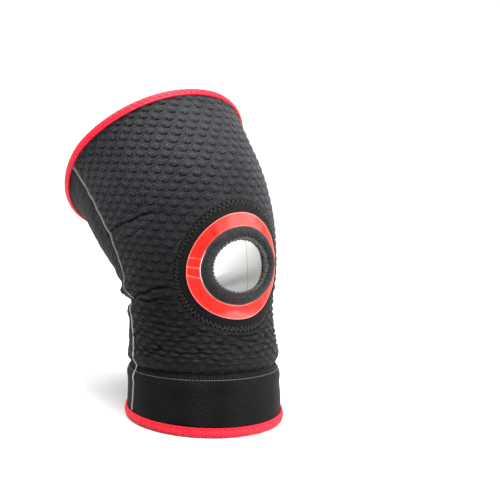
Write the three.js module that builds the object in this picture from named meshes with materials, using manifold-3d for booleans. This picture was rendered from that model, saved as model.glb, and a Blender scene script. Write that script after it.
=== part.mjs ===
// A knee sleeve: a bent tube of foam cloth, open at both ends, with a padded hole over the kneecap.
// Sizes are millimetres and degrees. +Z is up and the kneecap hole faces -Y.
// The sleeve stands on its calf hem, and the origin is under its middle, on the surface it stands on.

import * as THREE from 'three';
import { mergeVertices } from 'three/addons/utils/BufferGeometryUtils.js';
import Module from 'manifold-3d';

// The tube, measured along its middle line and over its cloth face
const SHIN_LENGTH = 104; // from the calf hem to the middle of the kneecap hole
const THIGH_LENGTH = 126; // from there to the thigh hem
const CALF_WIDTH = 119;
const CALF_DEPTH = 121;
const KNEE_WIDTH = 112;
const KNEE_DEPTH = 110;
const THIGH_WIDTH = 147;
const THIGH_DEPTH = 166;
const WALL = 4;
const STANDING_LEAN = 5; // how far the shin leans back from upright
const KNEE_BEND = 37; // how much further back the thigh leans
const LEVEL_STRETCH = 70; // the sections turn from level at the hem to square with the tube over this

// Pieces that the tube is sewn from
const CUFF_HEIGHT = 41;
const SEAM_GAP = 0.3; // between two cloth edges that are sewn together
const HEM_DIP = 4; // how far the thigh hem dips on the worn side that sags
const BINDING_WIDTH = 7;
const BINDING_THICKNESS = 1.2;
const BINDING_EDGE = 0.8; // the corner that a fold of the tape takes off

// The kneecap hole and the rings round it, each ring measured outwards from the last
const HOLE_WIDTH = 47;
const HOLE_HEIGHT = 38.5;
const PAD_RING = 9.3;
const PAD_THICKNESS = 10.5;
const PAD_RISE = 6.3; // how far the pad stands out from the cloth face
const FILM_RING = 10.2;
const FILM_THICKNESS = 0.4;
const FILM_LIFT = 0.5; // clear of the patch, whose facets differ from its own
const PATCH_MARGIN = 8; // plain cloth that shows outside the film

// Places on the tube are written as `at`: -1 at the calf hem, 0 at the middle of the hole, 1 at the thigh hem.
// Turns are degrees round the tube from the front. All but the thigh hem's are the same on both sides.
const CALF = { width: CALF_WIDTH, depth: CALF_DEPTH };
const KNEE = { width: KNEE_WIDTH, depth: KNEE_DEPTH };
const THIGH = { width: THIGH_WIDTH, depth: THIGH_DEPTH };

// Sections of the tube: half the width, and the reach forwards and backwards, as shares of a girth
const SECTIONS = [
  { at: -1, girth: CALF, half: 0.5, front: 0.504, back: 0.496 },
  { at: -0.78, girth: CALF, half: 0.492, front: 0.492, back: 0.492 },
  { at: -0.51, girth: CALF, half: 0.483, front: 0.459, back: 0.503 },
  { at: -0.34, girth: KNEE, half: 0.508, front: 0.455, back: 0.564 },
  { at: -0.18, girth: KNEE, half: 0.515, front: 0.422, back: 0.565 },
  { at: 0.04, girth: KNEE, half: 0.545, front: 0.514, back: 0.595 },
  { at: 0.27, girth: THIGH, half: 0.437, front: 0.449, back: 0.401 },
  { at: 0.52, girth: THIGH, half: 0.469, front: 0.474, back: 0.45 },
  { at: 0.78, girth: THIGH, half: 0.49, front: 0.467, back: 0.497 },
  { at: 0.93, girth: THIGH, half: 0.506, front: 0.462, back: 0.555 },
  { at: 1, girth: THIGH, half: 0.52, front: 0.46, back: 0.6 },
];

// Where the knee bend starts and ends
const BEND = { from: -0.27, to: 0.34 };

// The side seams, which run a little behind the sides
const SIDE_SEAM = [
  { at: -1, turn: 100 },
  { at: -0.6, turn: 97 },
  { at: -0.25, turn: 104 },
  { at: 0.1, turn: 103 },
  { at: 0.45, turn: 96 },
  { at: 1, turn: 99 },
];

// The thigh hem's line, as a share of its dip. It sags towards -X, where turns are above zero, and rises
// towards +X.
const THIGH_HEM = [
  { turn: -180, dip: 0 },
  { turn: -100, dip: -0.6 },
  { turn: -45, dip: -1.4 },
  { turn: -20, dip: -0.8 },
  { turn: 0, dip: 0 },
  { turn: 28, dip: 0.7 },
  { turn: 60, dip: 1 },
  { turn: 105, dip: 0.2 },
  { turn: 180, dip: 0 },
];

// Creases of the worn cloth, from one place to another. Their width and depth are shares of the wall,
// and a depth below zero is a fold that stands out.
const CREASES = [
  { at: -0.2, turn: 180, toAt: -0.06, toTurn: 50, wide: 1.2, deep: 0.55 },
  { at: -0.06, turn: 180, toAt: 0.03, toTurn: 66, wide: 1.6, deep: -0.55 },
  { at: -0.145, turn: 84, toAt: -0.125, toTurn: 47, wide: 0.7, deep: 0.2 },
  { at: -0.35, turn: 180, toAt: -0.31, toTurn: 108, wide: 1.3, deep: 0.5 },
  { at: 0.13, turn: 180, toAt: 0.16, toTurn: 104, wide: 1.4, deep: 0.5 },
  { at: 0.33, turn: 180, toAt: 0.3, toTurn: 118, wide: 1.4, deep: 0.35 },
  { at: 0.38, turn: 104, toAt: 0.22, toTurn: 46, wide: 1.3, deep: 0.36 },
];
// The groove where the front and back panels bulge over the cuff, all the way round
const CUFF_GROOVE = { wide: 1.1, deep: 0.5 };

// Facets
const FRONT_COLUMNS = 30;
const BACK_COLUMNS = 16;
const CUFF_ROWS = 5;
const RING_SIDES = 36;
// Rows of a panel from the cuff upwards, closer together where the creases are, and from there to the binding
const PANEL_ROWS = [
  { to: -0.25, rows: 6 },
  { to: 0.05, rows: 12 },
  { to: 0.42, rows: 8 },
];
const LAST_PANEL_ROWS = 6;

const radians = THREE.MathUtils.degToRad;
const lerp = THREE.MathUtils.lerp;
const between = (x, from, to) => THREE.MathUtils.clamp((x - from) / (to - from), 0, 1);
const smooth = (x, from, to) => THREE.MathUtils.smoothstep(x, from, to);
const TUBE_LENGTH = SHIN_LENGTH + THIGH_LENGTH;
const distanceAt = (at) => SHIN_LENGTH + at * (at < 0 ? SHIN_LENGTH : THIGH_LENGTH);

// A smooth curve through a table's rows: `read` gives a row's value and `key` its place
function throughRows(rows, key, read) {
  const keys = rows.map(key);
  const values = rows.map(read);
  const last = rows.length - 1;
  const slope = (i) => {
    const a = Math.max(i - 1, 0);
    const b = Math.min(i + 1, last);
    return (values[b] - values[a]) / (keys[b] - keys[a]);
  };
  return (x) => {
    let i = 0;
    while (i < last - 1 && x > keys[i + 1]) i += 1;
    const span = keys[i + 1] - keys[i];
    const t = (x - keys[i]) / span;
    const rise = t * t * (3 - 2 * t);
    return (
      lerp(values[i], values[i + 1], rise) +
      span * t * (1 - t) * ((1 - t) * slope(i) - t * slope(i + 1))
    );
  };
}

const byDistance = (row) => distanceAt(row.at);
const halfWidth = throughRows(SECTIONS, byDistance, (row) => row.half * row.girth.width);
const frontReach = throughRows(SECTIONS, byDistance, (row) => row.front * row.girth.depth);
const backReach = throughRows(SECTIONS, byDistance, (row) => row.back * row.girth.depth);
const seamTurn = throughRows(SIDE_SEAM, byDistance, (row) => radians(row.turn));
const hemDip = throughRows(THIGH_HEM, (row) => radians(row.turn), (row) => row.dip * HEM_DIP);
const thighHem = (turn) => TUBE_LENGTH - hemDip(turn);

// How far the tube leans back at a distance from the calf hem
function lean(distance) {
  const bend = smooth(distance, distanceAt(BEND.from), distanceAt(BEND.to));
  return radians(STANDING_LEAN) + radians(KNEE_BEND) * bend;
}

// The middle line, a point for each millimetre
const MIDDLE_LINE = [new THREE.Vector3()];
for (let mm = 1; mm <= TUBE_LENGTH + BINDING_WIDTH; mm += 1) {
  const angle = lean(mm - 0.5);
  MIDDLE_LINE.push(MIDDLE_LINE[mm - 1].clone().add(new THREE.Vector3(0, Math.sin(angle), Math.cos(angle))));
}
function middle(distance) {
  const i = Math.min(Math.floor(Math.max(distance, 0)), MIDDLE_LINE.length - 2);
  return MIDDLE_LINE[i].clone().lerp(MIDDLE_LINE[i + 1], distance - i);
}

// A crease's section: deepest in its middle, with a low lip on each side
const creaseShape = (x) => (1 - x * x) * Math.exp((-x * x) / 2);

// How far the creases push the cloth in, at a place on the tube
function creaseDepth(distance, turn) {
  const away = (place, crease) => (distance - place) / (crease.wide * WALL);
  const groove = CUFF_GROOVE.deep * WALL;
  let depth = groove * creaseShape(away(CUFF_HEIGHT, CUFF_GROOVE));
  for (const crease of CREASES) {
    const along = between(Math.abs(turn), radians(crease.turn), radians(crease.toTurn));
    const place = lerp(distanceAt(crease.at), distanceAt(crease.toAt), along);
    const start = crease.turn === 180 ? 1 : smooth(along, 0, 0.2);
    const fade = start * (1 - smooth(along, 0.45, 1));
    depth += fade * crease.deep * WALL * creaseShape(away(place, crease));
  }
  return depth;
}

// A point of the form: a distance along the tube, a turn round it, and a height over the cloth face
function formPoint(distance, turn, height) {
  const out = height - creaseDepth(distance, turn);
  const reach = Math.cos(turn) > 0 ? frontReach(distance) : backReach(distance);
  const forward = (reach + out) * Math.cos(turn);
  const tilt = lean(distance) * smooth(distance, 0, LEVEL_STRETCH);
  const point = middle(distance);
  point.x -= (halfWidth(distance) + out) * Math.sin(turn);
  point.y -= forward * Math.cos(tilt);
  point.z += forward * Math.sin(tilt);
  return point;
}

// Lengths along the front of the cloth, one for each millimetre of the tube, which the rings are laid out with
const FRONT_LINE = [0];
for (let mm = 1; mm <= TUBE_LENGTH; mm += 1) {
  const step = formPoint(mm, 0, 0).distanceTo(formPoint(mm - 1, 0, 0));
  FRONT_LINE.push(FRONT_LINE[mm - 1] + step);
}
function lengthUpFront(distance) {
  const mm = Math.floor(distance);
  return lerp(FRONT_LINE[mm], FRONT_LINE[mm + 1], distance - mm);
}
// The distance along the tube at which the front of the cloth has gone `up` past the hole's middle
function distanceUpFront(up) {
  const wanted = lengthUpFront(SHIN_LENGTH) + up;
  let mm = 1;
  while (mm < FRONT_LINE.length - 1 && FRONT_LINE[mm] < wanted) mm += 1;
  return mm - (FRONT_LINE[mm] - wanted) / (FRONT_LINE[mm] - FRONT_LINE[mm - 1]);
}

// Moves each vertex of a closed geometry, and welds it into one skin
function shaped(geometry, move) {
  geometry.deleteAttribute('normal');
  geometry.deleteAttribute('uv');
  const welded = mergeVertices(geometry, 1e-4);
  const position = welded.getAttribute('position');
  const vertex = new THREE.Vector3();
  for (let i = 0; i < position.count; i += 1) {
    vertex.fromBufferAttribute(position, i);
    vertex.copy(move(vertex));
    position.setXYZ(i, vertex.x, vertex.y, vertex.z);
  }
  welded.computeVertexNormals();
  return welded;
}

// A piece of the tube's wall, cut as a flat box: x across it from -1 to 1, y up it from row 0, z through it
function wallPiece(columns, rows, place) {
  const flat = new THREE.BoxGeometry(2, rows, 1, columns, rows, 1);
  flat.translate(0, rows / 2, 0);
  return shaped(flat, ({ x, y, z }) => {
    const { distance, turn } = place(x, y);
    return formPoint(distance, turn, (z - 0.5) * WALL);
  });
}

// The turn of a column of the front or the back, from seam to seam, held off each seam by a gap
function frontTurn(across, distance, gap) {
  return -across * (seamTurn(distance) - gap / halfWidth(distance));
}
function backTurn(across, distance, gap) {
  return Math.PI - across * (Math.PI - seamTurn(distance) - gap / halfWidth(distance));
}
const SIDES = [
  { side: 'front', columns: FRONT_COLUMNS, turnAt: frontTurn },
  { side: 'back', columns: BACK_COLUMNS, turnAt: backTurn },
];
// The same turn, counted from the front to the nearer side: above zero towards -X
const nearTurn = (turn) => Math.atan2(Math.sin(turn), Math.cos(turn));

// The distances of a piece's rows, in stretches that each end at a distance and have a number of rows
function rowDistances(start, stretches) {
  const distances = [start];
  for (const { end, rows } of stretches) {
    const from = distances.at(-1);
    for (let row = 1; row <= rows; row += 1) distances.push(lerp(from, end, row / rows));
  }
  return distances;
}

// A piece of the wall whose rows are worked out for each column from the thigh hem over it
function sewnPiece({ columns, turnAt }, rowsUnder) {
  const rows = rowsUnder(TUBE_LENGTH).length - 1;
  return wallPiece(columns, rows, (x, y) => {
    const hem = thighHem(nearTurn(turnAt(x, TUBE_LENGTH, 0)));
    const distance = rowsUnder(hem)[Math.round(y)];
    return { distance, turn: turnAt(x, distance, SEAM_GAP / 2) };
  });
}

// The cuff, from inside the calf binding to the seam over it
function cuff(side) {
  const start = BINDING_THICKNESS + SEAM_GAP;
  const stretches = [
    { end: BINDING_WIDTH, rows: 1 },
    { end: CUFF_HEIGHT - SEAM_GAP / 2, rows: CUFF_ROWS },
  ];
  return sewnPiece(side, () => rowDistances(start, stretches));
}

// A front or back panel, from the cuff to inside the thigh binding
function panel(side) {
  const start = CUFF_HEIGHT + SEAM_GAP / 2;
  const stretches = PANEL_ROWS.map(({ to, rows }) => ({ end: distanceAt(to), rows }));
  return sewnPiece(side, (hem) =>
    rowDistances(start, [
      ...stretches,
      { end: hem - BINDING_WIDTH, rows: LAST_PANEL_ROWS },
      { end: hem - BINDING_THICKNESS - SEAM_GAP, rows: 1 },
    ]),
  );
}

// A tape folded over a hem: its outer leg, its fold at the hem, its inner leg, and the channel for the cloth.
// A profile point is a depth into the sleeve from the hem and a height over the cloth face.
function bindingProfile() {
  const face = SEAM_GAP;
  const lining = -WALL - SEAM_GAP;
  const outside = face + BINDING_THICKNESS;
  const inside = lining - BINDING_THICKNESS;
  const profile = [
    [BINDING_WIDTH, face],
    [BINDING_WIDTH, outside],
    [BINDING_EDGE, outside],
    [0, outside - BINDING_EDGE],
    [0, inside + BINDING_EDGE],
    [BINDING_EDGE, inside],
    [BINDING_WIDTH, inside],
    [BINDING_WIDTH, lining],
    [BINDING_THICKNESS, lining],
    [BINDING_THICKNESS, face],
  ];
  return profile.map(([depth, height]) => ({ depth, height }));
}

// A binding is turned as a ring with a side for each column of the panels, then laid on the hem
const TURNING_RADIUS = CALF_WIDTH / 2; // which the laying takes off again
function binding(hemAt, inwards) {
  const profile = bindingProfile().map(
    ({ depth, height }) => new THREE.Vector2(TURNING_RADIUS + height, inwards * depth),
  );
  if (inwards > 0) profile.reverse();
  profile.push(profile[0].clone());
  const sides = FRONT_COLUMNS + BACK_COLUMNS;
  const ring = new THREE.LatheGeometry(profile, sides);
  return shaped(ring, ({ x, y, z }) => {
    const column = Math.round((Math.atan2(x, z) / (2 * Math.PI)) * sides);
    const pastSeam = Math.abs(column) - FRONT_COLUMNS / 2;
    const [turnAt, across] =
      pastSeam < 0
        ? [frontTurn, column / (FRONT_COLUMNS / 2)]
        : [backTurn, Math.sign(column) * (pastSeam / (BACK_COLUMNS / 2) - 1)];
    const distance = hemAt(nearTurn(turnAt(across, TUBE_LENGTH, 0))) + y;
    return formPoint(distance, turnAt(across, distance, 0), Math.hypot(x, z) - TURNING_RADIUS);
  });
}

// A place in the rings round the hole: an angle round it, a distance out from its edge, and a height
function ringPoint(angle, out, height) {
  const across = (HOLE_WIDTH / 2 + out) * Math.sin(angle);
  const up = (HOLE_HEIGHT / 2 + out) * Math.cos(angle);
  const distance = distanceUpFront(up);
  return formPoint(distance, -across / halfWidth(distance), height);
}

// A ring round the hole, turned flat from its section and laid on the form.
// A section point is a distance out from the hole's edge and a height over the cloth face.
function ring(section) {
  const profile = section.map(([out, height]) => new THREE.Vector2(TURNING_RADIUS + out, height));
  profile.push(profile[0].clone());
  return shaped(new THREE.LatheGeometry(profile, RING_SIDES), ({ x, y, z }) =>
    ringPoint(Math.atan2(x, z), Math.hypot(x, z) - TURNING_RADIUS, y),
  );
}

const FILM_START = PAD_RING + SEAM_GAP;
const FILM_MIDDLE = FILM_START + FILM_RING / 2;
const FILM_END = FILM_START + FILM_RING;
const PATCH_END = FILM_END + PATCH_MARGIN;

// The plain cloth ring between the pad and the embossed front panel
function patch() {
  const steps = [FILM_START, FILM_MIDDLE, FILM_END, (FILM_END + PATCH_END) / 2, PATCH_END];
  const face = steps.map((out) => [out, 0]);
  const lining = steps.map((out) => [out, -WALL]).reverse();
  return ring([...lining, ...face]);
}

// The bonded film on the patch
function film() {
  const steps = [FILM_START, FILM_MIDDLE, FILM_END];
  const top = steps.map((out) => [out, FILM_LIFT + FILM_THICKNESS]);
  const under = steps.map((out) => [out, FILM_LIFT]).reverse();
  return ring([...under, ...top]);
}

// The stuffed roll round the edge of the hole
function pad() {
  const corners = 12;
  const section = [];
  for (let corner = 0; corner < corners; corner += 1) {
    const angle = (2 * Math.PI * corner) / corners;
    const out = (PAD_RING / 2) * (1 + Math.cos(angle));
    const height = PAD_RISE - (PAD_THICKNESS / 2) * (1 + Math.sin(angle));
    section.push([out, height]);
  }
  return ring(section);
}

// A plug through the wall that the patch's opening is cut with. Its sides break at the wall's two faces.
function patchCutter() {
  const walls = 6;
  const plug = new THREE.CylinderGeometry(1, 1, walls, RING_SIDES, walls);
  return shaped(plug, ({ x, y, z }) => {
    const height = -y * WALL;
    if (Math.hypot(x, z) < 0.5) return formPoint(SHIN_LENGTH, 0, height);
    return ringPoint(Math.atan2(x, z), PATCH_END + SEAM_GAP, height);
  });
}

const wasm = await Module();
wasm.setup();

function toSolid(geometry) {
  return new wasm.Manifold(
    new wasm.Mesh({
      numProp: 3,
      vertProperties: new Float32Array(geometry.getAttribute('position').array),
      triVerts: new Uint32Array(geometry.getIndex().array),
    }),
  );
}

function toGeometry(solid) {
  const mesh = solid.getMesh();
  const geometry = new THREE.BufferGeometry();
  geometry.setAttribute('position', new THREE.BufferAttribute(mesh.vertProperties, 3));
  geometry.setIndex(new THREE.BufferAttribute(mesh.triVerts, 1));
  geometry.computeVertexNormals();
  return geometry;
}

const embossedCloth = new THREE.MeshStandardMaterial({ color: 0x2b2b2f, roughness: 0.85, metalness: 0 });
const plainCloth = new THREE.MeshStandardMaterial({ color: 0x222224, roughness: 0.9, metalness: 0 });
const padCloth = new THREE.MeshStandardMaterial({ color: 0x303032, roughness: 0.8, metalness: 0 });
const redTape = new THREE.MeshStandardMaterial({ color: 0xe8203a, roughness: 0.7, metalness: 0 });
const redFilm = new THREE.MeshStandardMaterial({ color: 0xf23022, roughness: 0.3, metalness: 0 });

const sleeve = new THREE.Group();

function add(name, geometry, material) {
  const mesh = new THREE.Mesh(geometry, material);
  mesh.name = name;
  sleeve.add(mesh);
}

for (const side of SIDES) {
  add(`cuff_${side.side}`, cuff(side), plainCloth);
}
const [front, back] = SIDES;
add('front_panel', toGeometry(toSolid(panel(front)).subtract(toSolid(patchCutter()))), embossedCloth);
add('back_panel', panel(back), plainCloth);
add('kneecap_patch', patch(), plainCloth);
add('kneecap_film', film(), redFilm);
add('kneecap_pad', pad(), padCloth);
add('calf_binding', binding(() => 0, 1), redTape);
add('thigh_binding', binding(thighHem, -1), redTape);

// The origin goes under the middle of the sleeve
const box = new THREE.Box3().setFromObject(sleeve);
const centre = box.getCenter(new THREE.Vector3());
sleeve.position.set(-centre.x, -centre.y, -box.min.z);
sleeve.updateMatrixWorld(true);

export default sleeve;
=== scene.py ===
import math

import bpy
import numpy as np
from mathutils import Matrix, Vector


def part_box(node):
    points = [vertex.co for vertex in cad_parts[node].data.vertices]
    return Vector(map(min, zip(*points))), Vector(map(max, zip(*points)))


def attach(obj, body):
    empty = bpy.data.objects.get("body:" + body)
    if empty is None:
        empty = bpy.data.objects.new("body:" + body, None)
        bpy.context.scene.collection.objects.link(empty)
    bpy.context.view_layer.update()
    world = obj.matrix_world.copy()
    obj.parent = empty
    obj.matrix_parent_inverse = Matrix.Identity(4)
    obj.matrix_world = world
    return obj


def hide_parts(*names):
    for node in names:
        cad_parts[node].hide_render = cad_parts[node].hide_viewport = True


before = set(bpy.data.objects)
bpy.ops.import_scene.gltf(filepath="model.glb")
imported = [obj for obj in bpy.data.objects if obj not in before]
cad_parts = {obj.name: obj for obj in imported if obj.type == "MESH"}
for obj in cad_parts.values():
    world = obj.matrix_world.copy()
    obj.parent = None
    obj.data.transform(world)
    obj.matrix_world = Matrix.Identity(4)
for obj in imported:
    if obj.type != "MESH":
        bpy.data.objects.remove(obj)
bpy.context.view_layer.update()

# Camera
# It stands to the left in front of the sleeve, a little over knee height, and looks slightly down, as in the
# photo. Its lens and distance give the photo's scale, and its aim puts the sleeve at the left of the frame.
HEM_FRONT = 0.0624  # from the leg's middle to the calf tape's face at the front
hem_low, hem_high = (Vector(corner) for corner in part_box("calf_binding"))
HEM_MIDDLE = Vector(((hem_low.x + hem_high.x) / 2, hem_low.y + HEM_FRONT, 0))  # where the leg's form starts
CAMERA_AT = HEM_MIDDLE + Vector((-0.331, -0.487, 0.178))
CAMERA_AIM = HEM_MIDDLE + Vector((0.047, 0.014, 0.126))
CAMERA_UP = Vector((0, 0.087, 0.996))  # the photo is rolled by a few degrees
CAMERA_LENS = 55.4
CAMERA_NEAR = 0.01

bpy.ops.object.select_all(action="DESELECT")
bpy.ops.object.camera_add(location=CAMERA_AT)
camera = bpy.context.object
camera.name = "camera"
camera.data.lens = CAMERA_LENS
back = (CAMERA_AT - CAMERA_AIM).normalized()
right = CAMERA_UP.cross(back).normalized()
turned = Matrix((right, back.cross(right), back)).transposed().to_4x4()
camera.matrix_world = Matrix.Translation(CAMERA_AT) @ turned
camera.data.clip_start = CAMERA_NEAR
bpy.context.scene.camera = camera

# Studio
# A round pale floor that turns up into a wall at its edge. Two long low lamps at the front, which the film
# mirrors, a small one on the right, one overhead and one at the back that shines down into the thigh light it
# softly, under an open sky.
FLOOR_RADIUS = 1.3
FLOOR_SIDES = 96
FLOOR_GREY = (0.56, 0.56, 0.56, 1)
COVE_RADIUS = 0.8
COVE_STEPS = 10
WALL_HEIGHT = 2.0
SKY_STRENGTH = 0.25
SOFT_LIGHTS = (
    {"name": "key_light", "place": (1.1, -1.25, 0.52), "wide": 1.4, "high": 0.4, "watts": 30},
    {"name": "front_light", "place": (0.3, -1.6, 0.5), "wide": 0.8, "high": 0.4, "watts": 9},
    {"name": "rim_light", "place": (1.75, 0.35, 0.5), "wide": 0.7, "high": 0.7, "watts": 8},
    {"name": "top_light", "place": (0.15, -0.4, 1.85), "wide": 1.1, "high": 1.1, "watts": 68},
    {"name": "back_light", "place": (-0.4, 0.5, 1.65), "wide": 0.7, "high": 0.7, "watts": 36},
)
LIGHT_AIM = Vector((0, 0, 0.12))


def new_finish(name, roughness, specular):
    """Starts a material, and gives it with its shader."""
    finish = bpy.data.materials.new(name)
    finish.use_nodes = True
    shader = finish.node_tree.nodes["Principled BSDF"]
    shader.inputs["Roughness"].default_value = roughness
    shader.inputs["Specular IOR Level"].default_value = specular
    return finish, shader


bpy.ops.mesh.primitive_circle_add(vertices=FLOOR_SIDES, radius=FLOOR_RADIUS, fill_type="NGON")
floor = bpy.context.object
floor.name = "studio_floor"
bpy.ops.object.mode_set(mode="EDIT")
bpy.ops.mesh.select_all(action="SELECT")
bpy.ops.mesh.region_to_loop()
reach, rise = FLOOR_RADIUS, 0
for step in range(1, COVE_STEPS + 1):
    turn = math.pi / 2 * step / COVE_STEPS
    wide = FLOOR_RADIUS + COVE_RADIUS * math.sin(turn)
    high = COVE_RADIUS * (1 - math.cos(turn))
    bpy.ops.mesh.extrude_region_move(TRANSFORM_OT_translate={"value": (0, 0, high - rise)})
    bpy.ops.transform.resize(value=(wide / reach, wide / reach, 1), center_override=(0, 0, 0))
    reach, rise = wide, high
bpy.ops.mesh.extrude_region_move(TRANSFORM_OT_translate={"value": (0, 0, WALL_HEIGHT - rise)})
bpy.ops.object.mode_set(mode="OBJECT")
bpy.ops.object.shade_smooth()

floor_finish, floor_shader = new_finish("studio_floor", roughness=0.9, specular=0.5)
floor_shader.inputs["Base Color"].default_value = FLOOR_GREY
floor.data.materials.append(floor_finish)

for light in SOFT_LIGHTS:
    place = Vector(light["place"])
    bpy.ops.object.light_add(type="AREA", location=place)
    lamp = bpy.context.object
    lamp.name = light["name"]
    lamp.data.shape = "RECTANGLE"
    lamp.data.size = light["wide"]
    lamp.data.size_y = light["high"]
    lamp.data.energy = light["watts"]
    lamp.visible_camera = False
    lamp.rotation_euler = (place - LIGHT_AIM).to_track_quat("Z", "Y").to_euler()

sky = bpy.data.worlds.new("studio_sky")
sky.use_nodes = True
sky.node_tree.nodes["Background"].inputs["Color"].default_value = (1, 1, 1, 1)
sky.node_tree.nodes["Background"].inputs["Strength"].default_value = SKY_STRENGTH
bpy.context.scene.world = sky
bpy.context.scene.view_settings.view_transform = "Standard"

# Front panel
# Black knit over 4 mm foam, pressed with level rows of small lens-shaped bumps. It is cut flat with an oval
# opening for the kneecap patch, and sewn round the front of the leg from one side seam to the other.
SHIN_LENGTH = 0.104
THIGH_LENGTH = 0.126
WALL = 0.004
STANDING_LEAN = math.radians(5)
KNEE_BEND = math.radians(37)
LEVEL_STRETCH = 0.07
CUFF_HEIGHT = 0.041
SEAM_GAP = 0.0003
HEM_DIP = 0.004
TAPE_THICKNESS = 0.0012
TAPE_WIDTH = 0.007
CALF = {"width": 0.119, "depth": 0.121}
KNEE = {"width": 0.112, "depth": 0.110}
THIGH = {"width": 0.147, "depth": 0.166}

# Sections of the leg: place, half the width, reach forwards and reach backwards, as shares of a girth
SECTIONS = (
    (-1, CALF, 0.5, 0.504, 0.496),
    (-0.78, CALF, 0.492, 0.492, 0.492),
    (-0.51, CALF, 0.483, 0.459, 0.503),
    (-0.34, KNEE, 0.508, 0.455, 0.564),
    (-0.18, KNEE, 0.515, 0.422, 0.565),
    (0.04, KNEE, 0.545, 0.514, 0.595),
    (0.27, THIGH, 0.437, 0.449, 0.401),
    (0.52, THIGH, 0.469, 0.474, 0.45),
    (0.78, THIGH, 0.49, 0.467, 0.497),
    (0.93, THIGH, 0.506, 0.462, 0.555),
    (1, THIGH, 0.52, 0.46, 0.6),
)
BEND = {"from": -0.27, "to": 0.34}
SIDE_SEAM = ((-1, 100), (-0.6, 97), (-0.25, 104), (0.1, 103), (0.45, 96), (1, 99))  # place, turn
THIGH_HEM = (  # turn, share of the dip
    (-180, 0), (-100, -0.6), (-45, -1.4), (-20, -0.8), (0, 0), (28, 0.7), (60, 1), (105, 0.2), (180, 0))

# Creases from one place and turn to another, with width and depth as shares of the wall
CREASES = (
    (-0.2, 180, -0.06, 50, 1.2, 0.55),
    (-0.06, 180, 0.03, 66, 1.6, -0.55),
    (-0.145, 84, -0.125, 47, 0.7, 0.2),
    (-0.35, 180, -0.31, 108, 1.3, 0.5),
    (0.13, 180, 0.16, 104, 1.4, 0.5),
    (0.33, 180, 0.3, 118, 1.4, 0.35),
    (0.38, 104, 0.22, 46, 1.3, 0.36),
)
CREASE_FULL_BY = 0.2  # shares of a crease's run: it is full from here
CREASE_FADES_FROM = 0.45  # and fades from here to its end
CUFF_GROOVE = {"wide": 1.1, "deep": 0.5}
LINING_FOLD = 0.4  # how much of the face's creases the lining follows
MILLIMETRE = 0.001
PAST_HEM = 0.02  # how far the leg's form is worked out beyond the thigh hem
SHARP_ANGLE = math.radians(50)

# Painted shade and light in the cloth's colour, from its relief and its place on the leg
HOLLOW_DEPTH = 0.001  # a hollow as deep as this gets the darkest painted shade
RAISED_HEIGHT = 0.0011  # a bump as high as this would get a painted highlight twice as light as flat cloth, but for the limit
LIGHTNESS_LIMITS = (0.08, 1.8)
SHIN_PAINTED_SHADE = 0.38  # painted shade on the shin: its share of the cloth's shades, against the thigh's
SHIN_SHADE_BETWEEN = (0.08, 0.17)  # the distances over which the shin's painted shade turns to the thigh's


def distance_at(place):
    """The distance from the calf hem of a place on the leg: -1 calf hem, 0 hole, 1 thigh hem."""
    return SHIN_LENGTH + place * (SHIN_LENGTH if place < 0 else THIGH_LENGTH)


def curve_through(places, values):
    """A smooth curve through points, as a function of arrays."""
    places, values = np.array(places, float), np.array(values, float)
    first = np.maximum(np.arange(len(places)) - 1, 0)
    last = np.minimum(np.arange(len(places)) + 1, len(places) - 1)
    slopes = (values[last] - values[first]) / (places[last] - places[first])

    def read(x):
        i = np.clip(np.searchsorted(places, x, side="right") - 1, 0, len(places) - 2)
        span = places[i + 1] - places[i]
        t = (x - places[i]) / span
        ease = t * t * (3 - 2 * t)
        bow = span * t * (1 - t) * ((1 - t) * slopes[i] - t * slopes[i + 1])
        return values[i] * (1 - ease) + values[i + 1] * ease + bow

    return read


def smooth_step(x, low, high):
    t = np.clip((x - low) / (high - low), 0, 1)
    return t * t * (3 - 2 * t)


section_places = [distance_at(row[0]) for row in SECTIONS]
half_width = curve_through(section_places, [row[2] * row[1]["width"] for row in SECTIONS])
front_reach = curve_through(section_places, [row[3] * row[1]["depth"] for row in SECTIONS])
back_reach = curve_through(section_places, [row[4] * row[1]["depth"] for row in SECTIONS])
seam_turn = curve_through(
    [distance_at(place) for place, turn in SIDE_SEAM], [math.radians(turn) for place, turn in SIDE_SEAM])
hem_dip = curve_through(
    [math.radians(turn) for turn, share in THIGH_HEM], [share * HEM_DIP for turn, share in THIGH_HEM])
TUBE_LENGTH = SHIN_LENGTH + THIGH_LENGTH


def near_turn(turn):
    """A turn round the leg, counted from the front to the nearer side."""
    return np.arctan2(np.sin(turn), np.cos(turn))


def thigh_hem(turn):
    return TUBE_LENGTH - hem_dip(near_turn(turn))


def lean(distance):
    bent = smooth_step(distance, distance_at(BEND["from"]), distance_at(BEND["to"]))
    return STANDING_LEAN + KNEE_BEND * bent


def running_total(steps):
    return np.concatenate([[0], np.cumsum(steps)])


def lengths_along(points):
    return running_total(np.linalg.norm(np.diff(points, axis=0), axis=1))


line_distances = np.arange(0, TUBE_LENGTH + PAST_HEM, MILLIMETRE)
line_leans = lean(line_distances[:-1] + MILLIMETRE / 2)
middle_back = running_total(np.sin(line_leans) * MILLIMETRE)
middle_up = running_total(np.cos(line_leans) * MILLIMETRE)


def crease_shape(x):
    return (1 - x * x) * np.exp(-x * x / 2)


def crease_depth(distance, turn):
    """How far the main creases push the cloth in."""
    turn = np.abs(near_turn(turn))
    groove = (distance - CUFF_HEIGHT) / (CUFF_GROOVE["wide"] * WALL)
    depth = CUFF_GROOVE["deep"] * WALL * crease_shape(groove)
    for start, start_turn, end, end_turn, wide, deep in CREASES:
        share = np.clip((math.radians(start_turn) - turn) / math.radians(start_turn - end_turn), 0, 1)
        place = distance_at(start) + (distance_at(end) - distance_at(start)) * share
        fade = 1 - smooth_step(share, CREASE_FADES_FROM, 1)
        if start_turn != 180:
            fade = fade * smooth_step(share, 0, CREASE_FULL_BY)
        depth = depth + fade * deep * WALL * crease_shape((distance - place) / (wide * WALL))
    return depth


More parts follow.
